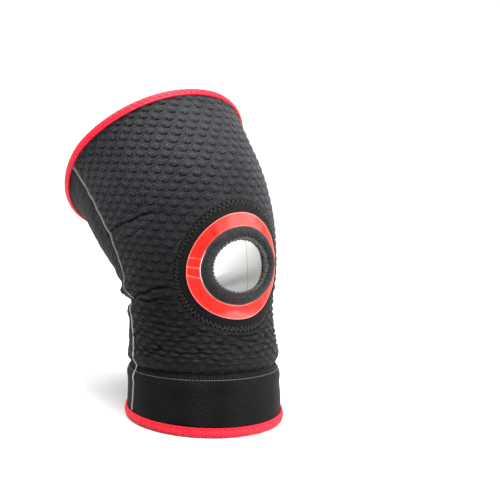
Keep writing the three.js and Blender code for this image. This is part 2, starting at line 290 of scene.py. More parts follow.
def leg_points(distance, turn, height):
    """Points on the leg's form: distances along it, turns round it and heights over the cloth's face."""
    follows = np.clip(1 + (1 - LINING_FOLD) * height / WALL, LINING_FOLD, 1)
    out = height - crease_depth(distance, turn) * follows
    reach = np.where(np.cos(turn) > 0, front_reach(distance), back_reach(distance))
    forward = (reach + out) * np.cos(turn)
    tilt = lean(distance) * smooth_step(distance, 0, LEVEL_STRETCH)
    return np.stack([
        HEM_MIDDLE.x - (half_width(distance) + out) * np.sin(turn),
        HEM_MIDDLE.y + np.interp(distance, line_distances, middle_back) - forward * np.cos(tilt),
        HEM_MIDDLE.z + np.interp(distance, line_distances, middle_up) + forward * np.sin(tilt),
    ], axis=-1)


front_points = leg_points(line_distances, line_distances * 0, line_distances * 0)
front_lengths = lengths_along(front_points)
front_lengths -= np.interp(SHIN_LENGTH, line_distances, front_lengths)


def pattern_height(distance):
    """A distance along the leg, as a height on the flat pattern over the hole's middle."""
    return np.interp(distance, line_distances, front_lengths)


def points_of(piece):
    points = np.empty(len(piece.data.vertices) * 3)
    piece.data.vertices.foreach_get("co", points)
    return points.reshape(-1, 3)


def set_points(piece, points):
    piece.data.vertices.foreach_set("co", np.ascontiguousarray(points, dtype=float).ravel())
    piece.data.update()


def map_cloth(piece, across, up):
    """Gives a piece the UV map that its knit follows, in metres on the flat pattern."""
    mesh = piece.data
    while mesh.uv_layers:
        mesh.uv_layers.remove(mesh.uv_layers[0])
    layer = mesh.uv_layers.new(name="cloth")
    corners = np.empty(len(mesh.loops), dtype=np.int32)
    mesh.loops.foreach_get("vertex_index", corners)
    layer.data.foreach_set("uv", np.stack([across[corners], up[corners]], axis=-1).ravel())


def keep_mark(piece, name, values):
    """Keeps a value at each point of a piece, for its finish to read."""
    mark = piece.data.attributes.new(name, "FLOAT", "POINT")
    mark.data.foreach_set("value", values)


def paint_shade_and_light(piece, rise, distance):
    """Marks painted shade and light for a cloth's colour: painted shade in hollows, painted highlight where
    raised, and painted shade on the shin against the thigh.
    """
    painted_lightness = 1 + np.where(rise < 0, rise / HOLLOW_DEPTH, rise / RAISED_HEIGHT)
    # painted shade: the shin's cloth darker than the thigh's
    shin_shade = SHIN_PAINTED_SHADE + (1 - SHIN_PAINTED_SHADE) * smooth_step(distance, *SHIN_SHADE_BETWEEN)
    keep_mark(piece, "painted_lightness", np.clip(painted_lightness, *LIGHTNESS_LIMITS) * shin_shade)


def sew_on(piece, middle_turn, relief):
    """Lays a flat piece round the leg from a middle line. Relief raises its face, and fades in the wall."""
    across, up, height = points_of(piece).T
    distance = np.interp(up, front_lengths, line_distances)
    turn = middle_turn - across / half_width(distance)
    rise = relief(distance, turn) * np.clip(1 + height / WALL, 0, 1)
    height = height + rise
    set_points(piece, leg_points(distance, turn, height))
    map_cloth(piece, across, up)
    # painted shade in the piece's hollows and painted highlight where raised, from its relief
    paint_shade_and_light(piece, rise, distance)


def face_middles(piece):
    middles = np.empty(len(piece.data.polygons) * 3)
    piece.data.polygons.foreach_get("center", middles)
    return middles.reshape(-1, 3).T


def select_alone(piece):
    """Selects one piece and no other, for the operators to act on."""
    bpy.ops.object.select_all(action="DESELECT")
    piece.select_set(True)
    bpy.context.view_layer.objects.active = piece


def select_faces(piece, wanted):
    """Goes into edit mode with only the faces selected whose middles pass a test."""
    bpy.ops.object.mode_set(mode="OBJECT")
    mesh = piece.data
    chosen = wanted(*face_middles(piece))
    mesh.vertices.foreach_set("select", np.zeros(len(mesh.vertices), bool))
    mesh.edges.foreach_set("select", np.zeros(len(mesh.edges), bool))
    mesh.polygons.foreach_set("select", chosen)
    bpy.ops.object.mode_set(mode="EDIT")
    bpy.ops.mesh.select_mode(type="FACE")


def cut_blank(name, columns, rows, place):
    """Cuts a flat piece: a grid whose points a function places on the pattern."""
    bpy.ops.object.select_all(action="DESELECT")
    bpy.ops.mesh.primitive_grid_add(x_subdivisions=columns, y_subdivisions=rows, size=2)
    piece = bpy.context.object
    piece.name = name
    piece.data.name = name
    x, y, z = points_of(piece).T
    across, up = place(x, (y + 1) / 2)
    set_points(piece, np.stack([across, up, z], axis=-1))
    return piece


def back_with_foam(piece, fineness):
    """Thickens a flat piece to its wall, with the lining left coarse and the face cut finer."""
    bpy.ops.object.mode_set(mode="EDIT")
    bpy.ops.mesh.select_all(action="SELECT")
    bpy.ops.mesh.extrude_region_move(TRANSFORM_OT_translate={"value": (0, 0, -WALL)})
    bpy.ops.mesh.select_all(action="SELECT")
    bpy.ops.mesh.normals_make_consistent(inside=False)
    select_faces(piece, lambda x, y, z: z > -WALL / 4)
    bpy.ops.mesh.subdivide(number_cuts=fineness)
    bpy.ops.object.mode_set(mode="OBJECT")


def finish_cloth(piece, face_finish):
    """Shades a cloth piece smooth but for its cut edges, and gives it the finishes of its face and lining."""
    select_alone(piece)
    bpy.ops.object.shade_smooth_by_angle(angle=SHARP_ANGLE)
    piece.data.materials.append(face_finish)
    piece.data.materials.append(lining_knit)


def make_panel(piece, fineness, middle_turn, relief, face_finish):
    """Makes a flat piece a panel of foam cloth: gives it its wall and lining, and sews it round the leg."""
    back_with_foam(piece, fineness)
    on_lining = face_middles(piece)[2] < -WALL * 0.9
    piece.data.polygons.foreach_set("material_index", on_lining.astype(np.int32))
    sew_on(piece, middle_turn, relief)
    finish_cloth(piece, face_finish)


def ripple(x, y, length, seed):
    """Smooth seeded unevenness between about -1 and 1, with features of a length."""
    draw = np.random.default_rng(seed)
    total = np.zeros_like(x)
    for _ in range(7):
        turn = draw.uniform(0, math.pi)
        wave = 2 * math.pi / (length * draw.uniform(0.7, 1.9))
        total += np.sin((x * math.cos(turn) + y * math.sin(turn)) * wave + draw.uniform(0, 2 * math.pi))
    return total / 3


def feed(finish, node, inputs):
    """Sets a node's inputs: each is given a value, or linked to another node's output."""
    for name, value in inputs.items():
        if isinstance(value, bpy.types.NodeSocket):
            finish.node_tree.links.new(value, node.inputs[name])
        else:
            node.inputs[name].default_value = value


def add_node(finish, kind, inputs):
    node = finish.node_tree.nodes.new(kind)
    feed(finish, node, inputs)
    return node


def add_blend(finish, inputs, blend_type="MIX"):
    """Adds a blend of the colours A and B, and gives its result."""
    blend = finish.node_tree.nodes.new("ShaderNodeMix")
    blend.data_type = "RGBA"
    blend.blend_type = blend_type
    feed(finish, blend, inputs)
    return blend.outputs["Result"]


def add_bump(finish, shader, height, strength, depth):
    bump = add_node(finish, "ShaderNodeBump", {"Height": height, "Strength": strength, "Distance": depth})
    feed(finish, shader, {"Normal": bump.outputs["Normal"]})


def cloth_place(finish):
    """The place on the cloth that a pattern follows, from the piece's own UV map."""
    place = add_node(finish, "ShaderNodeUVMap", {})
    place.uv_map = "cloth"
    return place.outputs["UV"]


def read_mark(finish, name):
    """The value that a piece keeps at its points under a name."""
    mark = add_node(finish, "ShaderNodeAttribute", {})
    mark.attribute_name = name
    return mark.outputs["Fac"]


def knit_finish(name, dark, light, grain_size, knit_size, knit_depth, roughness, sheen=0.03, on_cloth=True):
    """Dyed knit: two close shades in a fine grain, with painted shade in its hollows and painted highlight
    where raised, and small stitches in its bump.
    """
    finish, shader = new_finish(name, roughness, specular=0.05)
    if on_cloth:
        place = cloth_place(finish)
    else:
        place = add_node(finish, "ShaderNodeTexCoord", {}).outputs["Object"]
    grain = add_node(finish, "ShaderNodeTexNoise", {"Vector": place, "Scale": 1 / grain_size, "Detail": 3})
    spread = add_node(
        finish, "ShaderNodeMapRange", {"Value": grain.outputs["Fac"], "From Min": 0.42, "From Max": 0.66})
    shades = add_blend(finish, {"A": (*dark, 1), "B": (*light, 1), "Factor": spread.outputs["Result"]})
    if on_cloth:
        # painted shade and light: the shades times the piece's painted lightness mark
        shading = {"A": shades, "B": read_mark(finish, "painted_lightness"), "Factor": 1}
        shades = add_blend(finish, shading, "MULTIPLY")
    feed(finish, shader, {"Base Color": shades, "Sheen Weight": sheen, "Sheen Roughness": 0.35})
    knit_scale = (1 / knit_size, 1.4 / knit_size, 1 / knit_size)
    stretch = add_node(finish, "ShaderNodeMapping", {"Vector": place, "Scale": knit_scale})
    stitches = add_node(finish, "ShaderNodeTexVoronoi", {"Vector": stretch.outputs["Vector"], "Scale": 1})
    add_bump(finish, shader, stitches.outputs["Distance"], strength=0.6, depth=knit_depth)
    return finish


embossed_knit = knit_finish(
    "embossed_knit", dark=(0.006, 0.006, 0.007), light=(0.036, 0.036, 0.041),
    grain_size=0.0009, knit_size=0.0007, knit_depth=0.00025, roughness=0.6, sheen=0.05)
lining_knit = knit_finish(
    "lining_knit", dark=(0.86, 0.86, 0.85), light=(0.93, 0.93, 0.92),
    grain_size=0.0012, knit_size=0.0009, knit_depth=0.0001, roughness=0.85)

HOLE_WIDTH = 0.047
HOLE_HEIGHT = 0.0385
PAD_RING = 0.0093
FILM_RING = 0.0102
PATCH_MARGIN = 0.008
PATCH_END = PAD_RING + SEAM_GAP + FILM_RING + PATCH_MARGIN
HOLE_REACH = (HOLE_WIDTH + HOLE_HEIGHT) / 4  # the mean distance of the hole's edge from its middle
BORDER_REACH = HOLE_REACH + PATCH_END  # and of the patch's edge
BUMP_PITCH = 0.01  # from one lens to the next in its row
BUMP_ROW = 0.0058  # from row to row over the knee
SHIN_ROW = 0.0037  # and where the shin's cloth is pushed together
BUMP_HALF_WIDTH = 0.003
BUMP_HALF_HEIGHT = 0.38  # as a share of the row
BUMP_RAISED = 0.0006
BUMP_RAISED_MORE = 0.0005  # on the shin
GROOVE_DEPTH = 0.001
GROOVE_LESS = 0.0003  # on the shin
SHIN_ENDS = (0.07, 0.096)  # the levels between which the shin's close rows open to the knee's
ROW_SWAY = 0.0004  # how far the rows wander from level, and the bumps along their rows
SHIN_ROW_SWAY = 0.0007  # and how much more on the shin
SHIN_BUMP_SWAY = 0.0006
SHIN_WRINKLES = 0.0008
FOAM_WAVES = 0.0001
SIDE_ROLL = {"deep": 0.0011, "wide": 0.0014}  # the foam's roll down to a seam
CUFF_ROLL = {"deep": 0.0009, "wide": 0.0016}
FRONT_COLUMNS = 48
FRONT_ROWS = 104


def hole_radius(across, up):
    """How far a pattern point lies outside the hole's edge, along the rings round it."""
    angle = np.arctan2(across / HOLE_WIDTH, up / HOLE_HEIGHT)
    for _ in range(4):
        edge = np.hypot(HOLE_WIDTH / 2 * np.sin(angle), HOLE_HEIGHT / 2 * np.cos(angle))
        out = np.hypot(across, up) - edge
        angle = np.arctan2(across / (HOLE_WIDTH / 2 + out), up / (HOLE_HEIGHT / 2 + out))
    return out


def front_edge(distance):
    """How far the front pieces reach to each side, up to the side seams."""
    return seam_turn(distance) * half_width(distance) - SEAM_GAP / 2


def panel_rows(y, top_turn):
    """Distances from the cuff seam to the thigh tape at a turn."""
    low = CUFF_HEIGHT + SEAM_GAP / 2
    high = thigh_hem(top_turn) - TAPE_THICKNESS - SEAM_GAP
    return low + (high - low) * y


def front_cut(x, y):
    distance = panel_rows(y, -x * seam_turn(TUBE_LENGTH))
    return x * front_edge(distance), pattern_height(distance)


# Level arcs from the front line, for the rows of bumps: a table over heights and turns
arc_turns = np.linspace(0, 2.1, 64)
arc_levels = np.linspace(0.02, 0.27, 120)
column_distances = np.linspace(0.005, TUBE_LENGTH + 0.015, 400)
level_points = []
for turn in arc_turns:
    column = leg_points(column_distances, column_distances * 0 + turn, column_distances * 0)
    level_points.append([np.interp(arc_levels, column[:, 2], column[:, axis]) for axis in (0, 1)])
level_points = np.array(level_points)
arc_lengths = np.cumsum(np.hypot(*np.diff(level_points, axis=0).transpose(1, 0, 2)), axis=0)
arc_lengths = np.vstack([arc_lengths[0] * 0, arc_lengths])


def level_arc(turn, level):
    """The length of the level line on the cloth from the front to a turn."""
    i = np.abs(turn) / arc_turns[-1] * (len(arc_turns) - 1)
    j = (level - arc_levels[0]) / (arc_levels[-1] - arc_levels[0]) * (len(arc_levels) - 1)
    i0 = np.clip(i.astype(int), 0, len(arc_turns) - 2)
    j0 = np.clip(j.astype(int), 0, len(arc_levels) - 2)
    i, j = i - i0, j - j0
    low = arc_lengths[i0, j0] * (1 - i) + arc_lengths[i0 + 1, j0] * i
    high = arc_lengths[i0, j0 + 1] * (1 - i) + arc_lengths[i0 + 1, j0 + 1] * i
    return np.sign(turn) * (low * (1 - j) + high * j)


# How many rows of bumps lie under each level
row_levels = np.linspace(0, 0.28, 561)
row_pitches = SHIN_ROW + (BUMP_ROW - SHIN_ROW) * smooth_step(row_levels, *SHIN_ENDS)
row_counts = running_total(np.diff(row_levels) / row_pitches[1:])


def bumps(h, v, shin):
    """The embossing at places along and up its level rows: low lenses, each with a groove under it."""
    domes, grooves = np.zeros_like(h), np.zeros_like(h)
    rows = np.interp(v, row_levels, row_counts)
    dome_height = BUMP_RAISED + BUMP_RAISED_MORE * shin
    groove_depth = GROOVE_DEPTH - GROOVE_LESS * shin
    for near in (-1, 0, 1, 2):
        row = np.floor(rows) + near
        offset = (row % 2) * BUMP_PITCH / 2
        middle = np.round((h - offset) / BUMP_PITCH) * BUMP_PITCH + offset
        dx = (h - middle) / BUMP_HALF_WIDTH
        dy = (rows - row) / BUMP_HALF_HEIGHT
        radius = np.sqrt(dx * dx + dy * dy)
        dome = np.sqrt(np.clip(1 - radius * radius, 0, 1))
        domes = np.maximum(domes, dome * (0.8 + 0.3 * dy) * dome_height)
        lower_edge = smooth_step(-dy, 0.05, 0.7)
        grooves = np.maximum(grooves, groove_depth * lower_edge * np.exp(-((radius - 1.02) / 0.2) ** 2))
    return domes - grooves


def wrinkles(h, v, length, seed):
    """Long wavy creases along the level rows: 1 in their middles."""
    return np.exp(-((ripple(h * 0.22, v, length, seed) / 0.16) ** 2))


# Sharp creases in the face where the knee has been bent: the width and depth of each, its turns and distances
KNEE_LINES = (
    {"wide": 0.0012, "deep": 0.0016,
     "line": ((47, 0.0975), (60, 0.0976), (73, 0.0969), (88, 0.0948), (104, 0.0925))},
    {"wide": 0.0011, "deep": 0.0011,
     "line": ((43, 0.0899), (55, 0.0909), (68, 0.0911), (84, 0.0908))},
    {"wide": 0.0013, "deep": 0.0011,
     "line": ((45, 0.1318), (59, 0.1367), (70, 0.1408), (80, 0.1452), (94, 0.1512))},
    {"wide": 0.0012, "deep": 0.0005,
     "line": ((52, 0.1268), (66, 0.1312), (84, 0.1345))},
)
KNEE_LINE_SWAY = 0.0005


def knee_lines(distance, turn):
    """How far the sharp creases go in."""
    turn = np.abs(near_turn(turn))
    depth = np.zeros_like(distance)
    for crease in KNEE_LINES:
        turns = [math.radians(row[0]) for row in crease["line"]]
        line = curve_through(turns, [row[1] for row in crease["line"]])
        place = line(np.clip(turn, turns[0], turns[-1]))
        place = place + KNEE_LINE_SWAY * ripple(turn * 0.06, turn * 0, 0.012, 9)
        fade = smooth_step(turn, turns[0] - 0.1, turns[0] + 0.5)
        fade = fade * (1 - smooth_step(turn, turns[-1], turns[-1] + 0.1))
        depth = depth + fade * crease["deep"] * crease_shape((distance - place) / crease["wide"])
    return depth


def seam_roll(away, roll):
    """The foam's roll down to a seam, and the low swell beside it."""
    deep, wide = roll["deep"], roll["wide"]
    return 0.3 * deep * np.exp(-(((away - 2.2 * wide) / wide) ** 2)) - deep * np.exp(-((away / wide) ** 2))


# The stitches round the kneecap patch, which bridge its edge in a zigzag
BORDER_RUNGS = 88
BORDER_ENDS = (-0.0024, 0.0019)  # how far outside the patch's edge
NEEDLE_DIP = 0.0009


def needle_dips(angle, out):
    """The dimples that the border's needle leaves, at places round the hole and out from the patch's edge."""
    depth = np.zeros_like(out)
    for row_out, phase in ((BORDER_ENDS[0], 0), (BORDER_ENDS[1], 0.25)):
        count = angle / (2 * math.pi) * BORDER_RUNGS - phase
        along = (count - np.round(count)) * 2 * math.pi * BORDER_REACH / BORDER_RUNGS
        depth += NEEDLE_DIP * np.exp(-((np.hypot(along, out - row_out) / NEEDLE_DIP) ** 2))
    return depth


def front_relief(distance, turn):
    face = leg_points(distance, turn, distance * 0)
    h, v = level_arc(turn, face[:, 2]), face[:, 2]
    across, up = -turn * half_width(distance), pattern_height(distance)
    hole_out = hole_radius(across, up)
    angle = np.arctan2(across / (HOLE_WIDTH / 2 + hole_out), up / (HOLE_HEIGHT / 2 + hole_out))
    out = hole_out - PATCH_END
    shin = 1 - smooth_step(v, *SHIN_ENDS)
    v = v + ROW_SWAY * ripple(h, v, 0.024, 3) + SHIN_ROW_SWAY * shin * ripple(h * 0.5, v, 0.012, 7)
    h = h + (ROW_SWAY + SHIN_BUMP_SWAY * shin) * ripple(h, v, 0.03, 4)
    pressed = 0.2 + 0.8 * smooth_step(out, 0.001, 0.007)
    pressed = pressed * (0.45 + 0.55 * smooth_step(distance, CUFF_HEIGHT + 0.003, CUFF_HEIGHT + 0.012))
    height = bumps(h, v, shin) * pressed
    squeezed = shin * smooth_step(distance, CUFF_HEIGHT + 0.006, CUFF_HEIGHT + 0.016)
    height -= SHIN_WRINKLES * squeezed * wrinkles(h, v, 0.009, 5)
    height += FOAM_WAVES * ripple(h, v, 0.03, 6)
    height += seam_roll((seam_turn(distance) - np.abs(turn)) * half_width(distance), SIDE_ROLL)
    height += seam_roll(distance - CUFF_HEIGHT, CUFF_ROLL)
    height += seam_roll(out, SIDE_ROLL) - needle_dips(angle, out)
    return height - knee_lines(distance, turn)


front_panel = cut_blank("front_panel_cloth", FRONT_COLUMNS, FRONT_ROWS, front_cut)
bpy.ops.object.mode_set(mode="EDIT")
select_faces(front_panel, lambda x, y, z: hole_radius(x, y) < PATCH_END + 0.001)
bpy.ops.mesh.delete(type="FACE")
bpy.ops.object.mode_set(mode="OBJECT")


def out_of_opening(points):
    return hole_radius(points[:, 0], points[:, 1]) - PATCH_END - SEAM_GAP


def snap_to_opening(piece, reach):
    """Draws the stepped edge round the opening onto its oval."""
    points = points_of(piece)
    edge = np.zeros(len(points), bool)
    uses = {}
    for face in piece.data.polygons:
        for key in face.edge_keys:
            uses[key] = uses.get(key, 0) + 1
    for (a, b), count in uses.items():
        edge[[a, b]] |= count == 1
    edge &= np.abs(out_of_opening(points)) < reach
    near = points[edge]
    for _ in range(3):
        radius = np.hypot(near[:, 0], near[:, 1])
        near[:, :2] *= (1 - out_of_opening(near) / radius)[:, None]
    points[edge] = near
    set_points(piece, points)


snap_to_opening(front_panel, reach=0.012)
make_panel(front_panel, fineness=3, middle_turn=0, relief=front_relief, face_finish=embossed_knit)
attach(front_panel, "root")
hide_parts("front_panel")

# Back panel
# The same foam cloth without embossing, cut narrow, from side seam to side seam round the back of the knee.
# It has no stretch rows, so it folds where the knee bends.
BACK_COLUMNS = 36
BACK_ROWS = 64
BACK_RIPPLES = 0.0004
BACK_WRINKLES = 0.0008
FOLDED_AT = 0.1  # the ripples and wrinkles are deepest at this distance, in the knee's bend
FOLDED_REACH = 0.035


def back_edge(distance):
    """How far the back pieces reach to each side, up to the side seams."""
    return (math.pi - seam_turn(distance)) * half_width(distance) - SEAM_GAP / 2


def back_cut(x, y):
    distance = panel_rows(y, math.pi - x * (math.pi - seam_turn(TUBE_LENGTH)))
    return x * back_edge(distance), pattern_height(distance)


def back_relief(distance, turn):
    side = np.abs(near_turn(turn))
    across = near_turn(turn - math.pi) * half_width(distance)
    folded = 0.35 + 0.65 * np.exp(-(((distance - FOLDED_AT) / FOLDED_REACH) ** 2))
    height = folded * BACK_RIPPLES * ripple(across * 0.3, distance, 0.0065, 11)
    height -= folded * BACK_WRINKLES * wrinkles(across, distance, 0.016, 13)
    height += FOAM_WAVES * ripple(across, distance, 0.02, 12)
    height += seam_roll((side - seam_turn(distance)) * half_width(distance), SIDE_ROLL)
    return height + seam_roll(distance - CUFF_HEIGHT, CUFF_ROLL) - knee_lines(distance, turn)


plain_knit = knit_finish(
    "plain_knit", dark=(0.002, 0.002, 0.002), light=(0.026, 0.026, 0.0262),
    grain_size=0.0009, knit_size=0.0008, knit_depth=0.0002, roughness=0.7)
back_panel = cut_blank("back_panel_cloth", BACK_COLUMNS, BACK_ROWS, back_cut)
make_panel(back_panel, fineness=2, middle_turn=math.pi, relief=back_relief, face_finish=plain_knit)
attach(back_panel, "root")
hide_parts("back_panel")

# Cuffs
# Two plain pieces of the same foam cloth make a band round the calf. The embossed panel and the back panel
# bulge over their upper edge, and the calf tape folds round the lower one.
CUFF_ROWS = 16
CUFF_WAVES = 0.00025
CUFF_SIDE_ROLL = {"deep": 0.0009, "wide": 0.0012}
PRESSED_DEPTH = 0.0004  # under the panels' edge, which lies on the cuff
PRESSED_TO = (0.0024, 0.0034)  # where that ends, down from the seam


def cuff_relief(distance, turn):
    side = np.abs(near_turn(turn))
    height = CUFF_WAVES * ripple(turn * half_width(distance), distance, 0.025, 21)
    height += seam_roll(np.abs(side - seam_turn(distance)) * half_width(distance), CUFF_SIDE_ROLL)
    return height - PRESSED_DEPTH * (1 - smooth_step(CUFF_HEIGHT - distance, *PRESSED_TO))


for name, node, columns, edge_at, middle_turn in (
    ("cuff_front_cloth", "cuff_front", 52, front_edge, 0),
    ("cuff_back_cloth", "cuff_back", 32, back_edge, math.pi),
):

    def cuff_cut(x, y):
        low, high = TAPE_THICKNESS + SEAM_GAP, CUFF_HEIGHT - SEAM_GAP / 2
        distance = low + (high - low) * y
        return x * edge_at(distance), pattern_height(distance)

    cuff = cut_blank(name, columns, CUFF_ROWS, cuff_cut)
    make_panel(cuff, fineness=2, middle_turn=middle_turn, relief=cuff_relief, face_finish=plain_knit)
    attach(cuff, "root")
    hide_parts(node)

# Side seams
# The front and the back meet edge to edge at each side, joined by a rope of slanted grey stitches from the
# calf tape to the thigh tape. It is wide on the thigh and narrow below the knee.
STITCH_SIDES = 6
STITCH_STEPS = 5
SEAM_THREAD = 0.00085
SEAM_STITCH_PITCH = 0.0016
PALE_BELOW = 0.096  # the thread is worn paler under the knee
SEAM_STITCH_WIDTH = 0.00095  # how far a stitch reaches to each side of the seam
SEAM_SWAY = 0.0004
SEAM_SLIPS = 0.00008
SEAM_SUNK = 0.0001


def turn_faces_outwards():
    """Recalculates the normals of the piece in hand."""
    bpy.ops.object.mode_set(mode="EDIT")
    bpy.ops.mesh.select_all(action="SELECT")
    bpy.ops.mesh.normals_make_consistent(inside=False)
    bpy.ops.object.mode_set(mode="OBJECT")


def model_stitch(thread, arch):
    """Models a stitch 1 long on X, out of the cloth in its middle and in it at its ends."""
    bpy.ops.object.select_all(action="DESELECT")
    bpy.ops.mesh.primitive_circle_add(
        vertices=STITCH_SIDES, radius=thread / 2, fill_type="NGON", rotation=(0, math.pi / 2, 0))
    bpy.ops.object.transform_apply(location=True, rotation=True, scale=True)
    stitch = bpy.context.object
    bpy.ops.object.mode_set(mode="EDIT")
    bpy.ops.mesh.select_all(action="SELECT")
    for _ in range(STITCH_STEPS):
        bpy.ops.mesh.extrude_region_move(TRANSFORM_OT_translate={"value": (1 / STITCH_STEPS, 0, 0)})
    turn_faces_outwards()
    points = points_of(stitch)
    points[:, 2] += arch * (0.5 - 1.5 * (2 * points[:, 0] - 1) ** 2)
    set_points(stitch, points)
    return stitch


def lay_stitches(name, stitch, starts, ends, lay, finish):
    """Lays a copy of a stitch from each start to each end, flat places that a function lays on the leg."""
    shape = points_of(stitch)
    starts, ends = np.array(starts, float), np.array(ends, float)
    run = ends - starts
    side = np.stack([-run[:, 1], run[:, 0]], axis=-1) / np.linalg.norm(run, axis=1)[:, None]
    flat = starts[:, None] + shape[:, 0, None] * run[:, None] + shape[:, 1, None] * side[:, None]
    points = lay(flat[..., 0].ravel(), flat[..., 1].ravel(), np.tile(shape[:, 2], len(starts)))
    faces = []
    for copy in range(len(starts)):
        faces += [[corner + copy * len(shape) for corner in face.vertices] for face in stitch.data.polygons]
    mesh = bpy.data.meshes.new(name)
    mesh.from_pydata(points, [], faces)
    mesh.materials.append(finish)
    piece = bpy.data.objects.new(name, mesh)
    bpy.context.collection.objects.link(piece)
    select_alone(piece)
    turn_faces_outwards()
    bpy.ops.object.shade_smooth_by_angle(angle=SHARP_ANGLE)
    return piece


def thread_finish(name, dark, light, roughness):
    """Spun thread: two shades in a grain about as long as a stitch is thick, with a soft gloss."""
    finish, shader = new_finish(name, roughness, specular=0.2)
    place = add_node(finish, "ShaderNodeTexCoord", {})
    grain = add_node(finish, "ShaderNodeTexNoise", {"Vector": place.outputs["Object"], "Scale": 900})
    shades = add_blend(finish, {"A": (*dark, 1), "B": (*light, 1), "Factor": grain.outputs["Fac"]})
    feed(finish, shader, {"Base Color": shades})
    add_bump(finish, shader, grain.outputs["Fac"], strength=0.5, depth=0.0001)
    return finish


grey_thread = thread_finish("grey_thread", (0.04, 0.04, 0.04), (0.34, 0.34, 0.335), roughness=0.6)
pale_thread = thread_finish("pale_thread", (0.2, 0.2, 0.2), (0.6, 0.6, 0.59), roughness=0.6)
seam_draw = np.random.default_rng(51)
seam_stitch = model_stitch(SEAM_THREAD, arch=0.0003)
seam_top = thigh_hem(seam_turn(TUBE_LENGTH)) - TAPE_WIDTH
seam_places = np.arange(TAPE_WIDTH + 0.0004, seam_top, SEAM_STITCH_PITCH)
for name, side in (("left_seam_thread", 1), ("right_seam_thread", -1)):

    def on_side_seam(across, distance, height):
        turn = seam_turn(distance) - across / half_width(distance)
        sunk = SEAM_SUNK + 0.8 * np.clip(knee_lines(distance, turn), 0, None)
        return leg_points(distance, side * turn, height - sunk)

    wide = SEAM_STITCH_WIDTH * (0.62 + 0.5 * smooth_step(seam_places, 0.09, 0.14))
    sway = SEAM_SWAY * ripple(seam_places, seam_places * 0, 0.014, 52)
    wander = sway + seam_draw.normal(0, SEAM_SLIPS, len(seam_places))
    rise = SEAM_STITCH_PITCH * 1.1
    seam = lay_stitches(
        name, seam_stitch,
        np.stack([wander - wide, seam_places], axis=-1),
        np.stack([wander + wide, seam_places + rise], axis=-1),
        on_side_seam, grey_thread)
    seam.data.materials.append(pale_thread)
    stitch_of = np.arange(len(seam.data.polygons)) // len(seam_stitch.data.polygons)
    worn = seam_places[stitch_of] < PALE_BELOW
    seam.data.polygons.foreach_set("material_index", worn.astype(np.int32))
    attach(seam, "root")
bpy.data.objects.remove(seam_stitch)

# Cuff seam
# The panels are overlocked to the cuff with close upright stitches of black thread, which show as ribs under
# the panels' edge. One line of topstitching runs round under them.
RIB_PITCH = 0.002
RIB_THREAD = 0.0011
RIB_ENDS = (0.0006, 0.0027)  # how far under the seam
TOPSTITCH_DEPTH = 0.0035
TOPSTITCH_PITCH = 0.0026
TOPSTITCH_THREAD = 0.0005
TOPSTITCH_RAISED = 0.0004  # it lies on the seam's roll, not in it
RIB_SLIPS = 0.0001
THREAD_SUNK = 0.0002

around = np.linspace(-math.pi, math.pi, 721)


def girth_line(distances):
    """Lengths round the leg from its back, at the turns of `around`."""
    return lengths_along(leg_points(distances, around, around * 0))


cuff_lengths = girth_line(around * 0 + CUFF_HEIGHT)
black_thread = thread_finish("black_thread", (0.002, 0.002, 0.002), (0.016, 0.016, 0.016), roughness=0.4)
rib_thread = thread_finish("rib_thread", (0.001, 0.001, 0.001), (0.01, 0.01, 0.01), roughness=0.7)
dull_thread = thread_finish("dull_thread", (0.015, 0.015, 0.015), (0.075, 0.075, 0.075), roughness=0.6)


def under_cuff_seam(run, depth, height):
    turn = np.interp(run, cuff_lengths, around)
    return leg_points(CUFF_HEIGHT - depth, turn, height - THREAD_SUNK)


ribs = round(cuff_lengths[-1] / RIB_PITCH)
rib_runs = np.arange(ribs) / ribs * cuff_lengths[-1]
rib_slant = seam_draw.normal(0, RIB_SLIPS, ribs)
rib = model_stitch(RIB_THREAD, arch=0.0001)
cuff_ribs = lay_stitches(
    "cuff_seam_ribs", rib,
    [(run, RIB_ENDS[0]) for run in rib_runs],
    [(run + slant, RIB_ENDS[1]) for run, slant in zip(rib_runs, rib_slant)],
    under_cuff_seam, rib_thread)
topstitch = model_stitch(TOPSTITCH_THREAD, arch=0.0002)
topstitch_points = points_of(topstitch)
topstitch_points[:, 2] += TOPSTITCH_RAISED
set_points(topstitch, topstitch_points)
top_runs = np.arange(0, cuff_lengths[-1] - TOPSTITCH_PITCH, TOPSTITCH_PITCH)
cuff_topstitch = lay_stitches(
    "cuff_topstitching", topstitch,
    [(run, TOPSTITCH_DEPTH) for run in top_runs],
    [(run + TOPSTITCH_PITCH * 0.93, TOPSTITCH_DEPTH) for run in top_runs],
    under_cuff_seam, dull_thread)
for piece, template in ((cuff_ribs, rib), (cuff_topstitch, topstitch)):
    bpy.data.objects.remove(template)
    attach(piece, "root")

# Kneecap patch
# An oval of plain cloth set into the front panel, with a zigzag of thick black thread over its edge. The film
# and the pad hide most of it. It is turned as a round ring, and laid on the knee as an oval.
RING_STEPS = 200
TURNING_RADIUS = 0.06
BORDER_THREAD = 0.0011
BORDER_SLIPS = 0.004  # of the needle, as a turn round the hole
PATCH_ROLL = {"deep": 0.0009, "wide": 0.0012}


def spin_ring(name, section, steps):
    """Spins the section that a function models in the upright plane into a closed ring."""
    bpy.ops.object.select_all(action="DESELECT")
    section()
    ring = bpy.context.object
    ring.name = name
    ring.data.name = name
    bpy.ops.object.transform_apply(location=True, rotation=True, scale=True)
    bpy.ops.object.mode_set(mode="EDIT")
    bpy.ops.mesh.select_all(action="SELECT")
    bpy.ops.mesh.spin(steps=steps, angle=2 * math.pi, center=(0, 0, 0), axis=(0, 0, 1))
    bpy.ops.mesh.select_all(action="SELECT")
    bpy.ops.mesh.remove_doubles(threshold=1e-6)
    turn_faces_outwards()
    return ring


